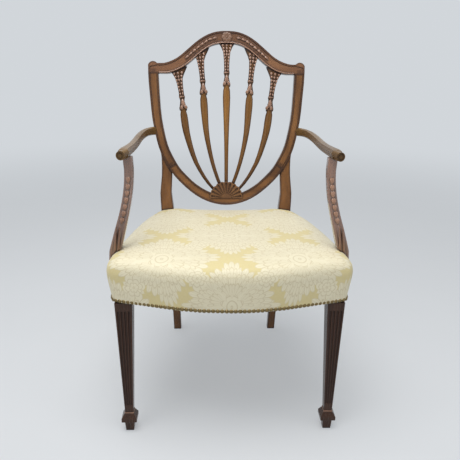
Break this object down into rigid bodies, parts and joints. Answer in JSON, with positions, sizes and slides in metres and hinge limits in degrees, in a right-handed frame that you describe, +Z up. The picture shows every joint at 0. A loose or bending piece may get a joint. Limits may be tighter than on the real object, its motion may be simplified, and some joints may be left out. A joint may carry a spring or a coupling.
{
  "type": "shield back chair",
  "caption": "Open armchair with a shield-shaped back of carved splats, curved arms on curved supports, tapered fluted front legs and a crowned damask seat",
  "frame": {"origin": "bottom centre of the whole chair, at floor level", "axes": "+X to the right as seen from the front, +Y to the back, +Z up"},
  "size_m": [0.59, 0.6442, 0.9708],
  "materials": {
    "mahogany": "French polished",
    "beech": "planed, unfinished",
    "screw_steel": "turned",
    "tack_iron": "blued",
    "webbing": "jute web",
    "hessian": "plain weave",
    "horsehair": "curled hair",
    "cotton_wadding": "felted",
    "damask": "cream figure on a gold ground",
    "nail_brass": "antiqued domed heads"
  },
  "bodies": {
    "root": {"arm_left": "mahogany", "arm_right": "mahogany", "arm_screws": "screw_steel", "arm_support_left": "mahogany", "arm_support_right": "mahogany", "arm_support_screws": "screw_steel", "back_rail": "beech", "brass_nails": "nail_brass", "corner_block_screws": "screw_steel", "crest_rail": "mahogany", "fan_boss": "mahogany", "front_corner_block_left": "beech", "front_corner_block_right": "beech", "front_leg_left": "mahogany", "front_leg_right": "mahogany", "front_rail": "beech", "hair_stuffing": "horsehair", "hessian_cloth": "hessian", "lower_bow": "mahogany", "rear_corner_block_left": "beech", "rear_corner_block_right": "beech", "rear_leg_left": "mahogany", "rear_leg_right": "mahogany", "seat_cover": "damask", "side_rail_left": "beech", "side_rail_right": "beech", "splat_centre": "mahogany", "splat_inner_left": "mahogany", "splat_inner_right": "mahogany", "splat_outer_left": "mahogany", "splat_outer_right": "mahogany", "wadding": "cotton_wadding", "webbing_straps": "webbing", "webbing_tacks": "tack_iron"}
  },
  "joints": []
}
